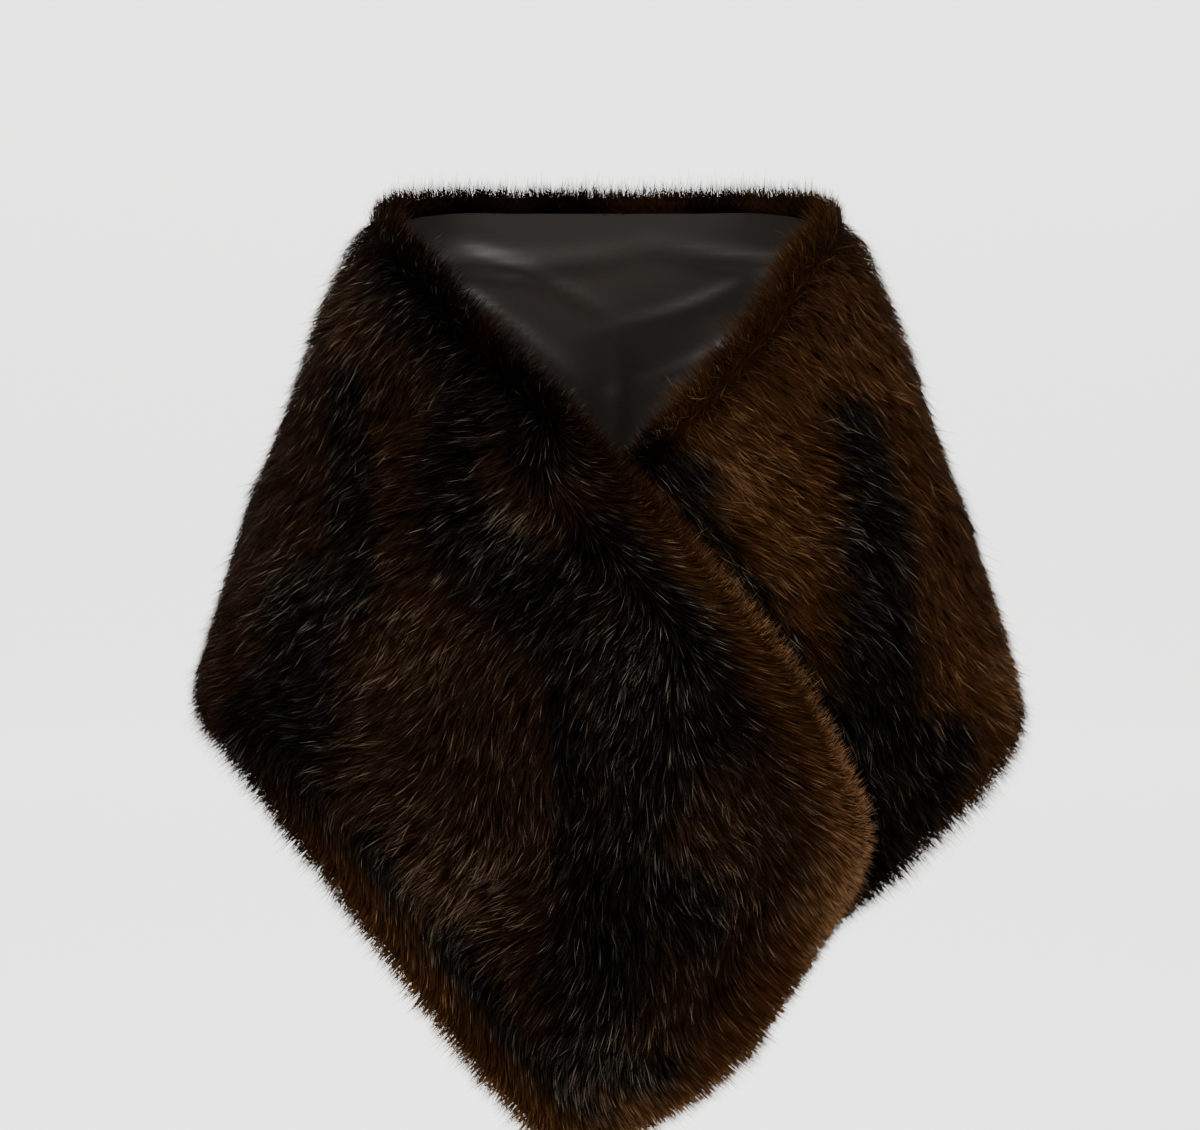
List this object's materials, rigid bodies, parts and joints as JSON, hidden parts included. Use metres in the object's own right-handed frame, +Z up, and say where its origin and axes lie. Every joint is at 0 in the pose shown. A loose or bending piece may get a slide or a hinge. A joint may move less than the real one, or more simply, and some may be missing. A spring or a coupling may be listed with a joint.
{
  "type": "fur wrap",
  "caption": "Wide fur stole with a satin lining, worn low round the shoulders, its ends crossed at the front and hanging to a rounded point.",
  "frame": {"origin": "between the wearer's shoulders, level with their tops, where the wearer holds the wrap up", "axes": "+Z up, +Y to the wearer's back, +X to the wearer's left, which is the right of a view of the front"},
  "size_m": [0.8264, 0.4057, 0.9166],
  "materials": {
    "fur": "dense dark brown pile with near-black stripes, semi-gloss hair tips",
    "lining": "dark grey-brown satin, soft sheen"
  },
  "bodies": {
    "root": {"fur_back": "fur", "fur_outer_front": "fur", "fur_under_front": "fur", "lining_back": "lining", "lining_outer_front": "lining", "lining_under_front": "lining"}
  },
  "joints": []
}
